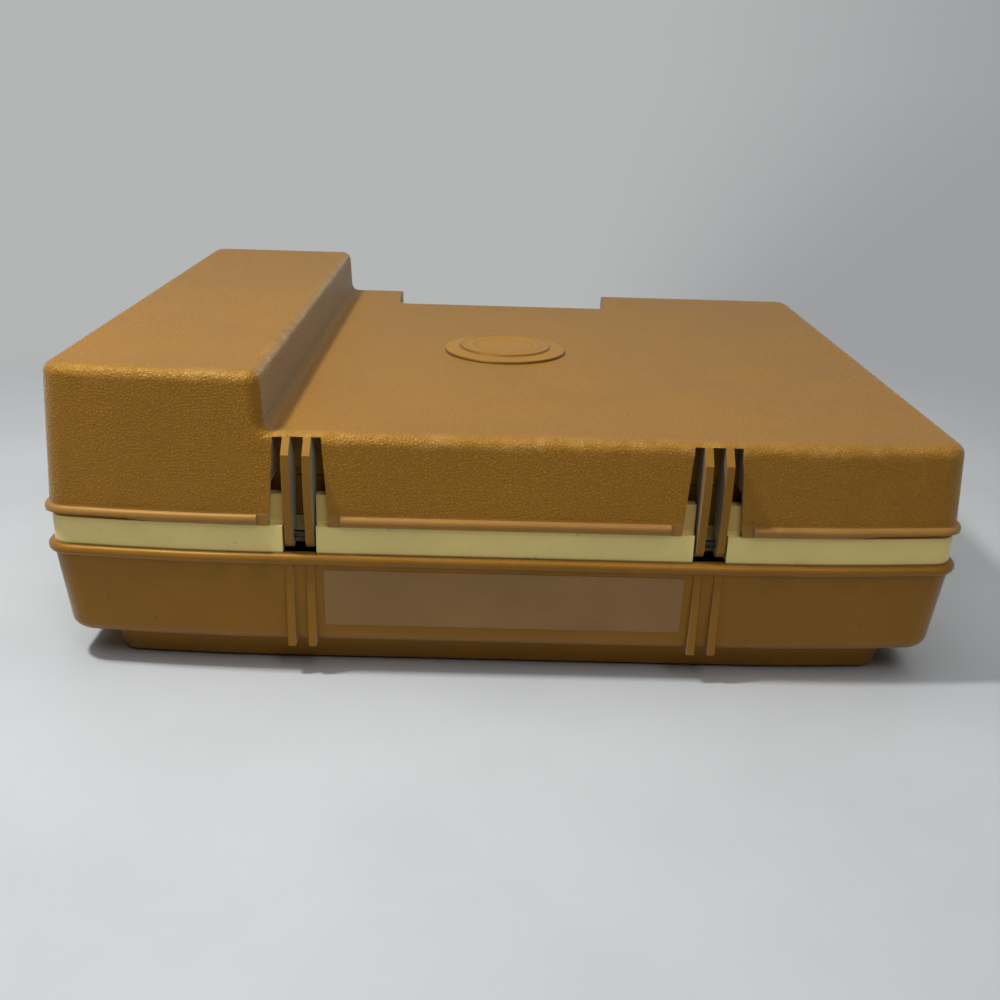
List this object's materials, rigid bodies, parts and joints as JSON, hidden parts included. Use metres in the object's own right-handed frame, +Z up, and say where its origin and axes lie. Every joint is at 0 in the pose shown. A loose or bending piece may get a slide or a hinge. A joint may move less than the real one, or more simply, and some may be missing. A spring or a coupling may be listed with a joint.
{
  "type": "record player",
  "caption": "Portable children's record player in a carrying case: hinged lid, rim-driven turntable, swinging tonearm, speaker and controls inside.",
  "frame": {"origin": "middle of the outline on the floor, under the feet", "axes": "+Z up, the handle and front face -Y, the hinges face +Y, the raised part of the lid lies at +X"},
  "size_m": [0.355, 0.313, 0.122],
  "materials": {
    "tan": "fine grain",
    "tan_dark": "satin",
    "cream": "satin",
    "brown": "satin",
    "black_plastic": "satin",
    "rubber": "matt",
    "steel": "satin",
    "brass": "turned",
    "copper": "enamelled wire",
    "paper": "felted paper",
    "magnet": "matt",
    "board": "satin",
    "board_parts": "satin"
  },
  "bodies": {
    "case": {"base_tub": "tan", "rubber_feet": "rubber", "case_screws": "steel", "cord_bush": "rubber", "deck": "cream", "carry_handle": "tan_dark", "hinge_pins": "steel", "spindle_washer": "cream", "motor_stack": "steel", "motor_coil": "copper", "motor_brackets": "steel", "motor_grommets": "rubber", "motor_screws": "steel", "arm_post": "cream", "arm_rest": "cream", "volume_control": "steel", "speaker_frame": "steel", "speaker_cone": "paper", "speaker_dust_cap": "paper", "speaker_magnet": "magnet", "speaker_screws": "steel", "circuit_board": "board", "board_parts": "board_parts"},
    "lid": {"lid_shell": "tan", "lid_emblem": "tan", "hinge_arms_left": "tan", "hinge_arms_right": "tan"},
    "platter": {"platter": "brown", "platter_mat": "rubber", "spindle": "steel"},
    "adapter": {"record_adapter": "cream"},
    "rotor": {"motor_rotor": "steel", "capstan": "brass"},
    "idler_lever": {"idler_arm": "steel", "idler_shaft": "steel", "speed_lever": "steel", "idler_axle": "steel"},
    "idler": {"idler_hub": "brass", "idler_tyre": "rubber"},
    "turret": {"arm_turret": "tan", "arm_pivot_pin": "steel"},
    "tonearm": {"tonearm_wand": "tan", "counterweight": "steel", "cartridge": "black_plastic", "stylus": "steel"},
    "volume": {"volume_knob": "tan", "volume_shaft": "steel"},
    "speed": {"speed_knob": "tan", "speed_shaft": "steel", "speed_cam": "brass"}
  },
  "joints": [
    {"name": "lid_hinge", "type": "hinge", "parent": "case", "child": "lid", "pos_m": [0, 0.148, 0.0585], "axis": [-1, 0, 0], "range_deg": [0, 90]},
    {"name": "platter_spin", "type": "hinge", "parent": "case", "child": "platter", "pos_m": [-0.042, 0.004, 0.056], "axis": [0, 0, -1], "continuous": true},
    {"name": "adapter_lift", "type": "slide", "parent": "platter", "child": "adapter", "axis": [0, 0, 1], "range_m": [0, 0.005]},
    {"name": "motor_spin", "type": "hinge", "parent": "case", "child": "rotor", "pos_m": [-0.1108, -0.00975, 0.0535], "axis": [0, 0, -1], "continuous": true},
    {"name": "speed_turn", "type": "hinge", "parent": "case", "child": "speed", "pos_m": [-0.112, -0.1245, 0.056], "axis": [0, 0, -1], "range_deg": [0, 90]},
    {"name": "idler_swing", "type": "hinge", "parent": "case", "child": "idler_lever", "pos_m": [-0.08351, -0.01536, 0.056], "axis": [0, 0, 1], "range_deg": [0, 5]},
    {"name": "idler_spin", "type": "hinge", "parent": "idler_lever", "child": "idler", "pos_m": [-0.11432, -0.02973, 0.056], "axis": [0, 0, -1], "continuous": true},
    {"name": "tonearm_swing", "type": "hinge", "parent": "case", "child": "turret", "pos_m": [0.128, 0.102, 0.064], "axis": [0, 0, -1], "range_deg": [0, 44.5]},
    {"name": "tonearm_lift", "type": "hinge", "parent": "turret", "child": "tonearm", "pos_m": [0.128, 0.102, 0.0788], "axis": [-1, 0, 0], "range_deg": [0, 3.5]},
    {"name": "volume_turn", "type": "hinge", "parent": "case", "child": "volume", "pos_m": [0.094, -0.1245, 0.056], "axis": [0, 0, -1], "range_deg": [0, 280]}
  ],
  "couplings": [
    {"joint": "motor_spin", "follows": "platter_spin", "ratio": -49.545},
    {"joint": "idler_spin", "follows": "platter_spin", "ratio": 5.45},
    {"joint": "idler_swing", "follows": "speed_turn", "ratio": 0.05}
  ]
}
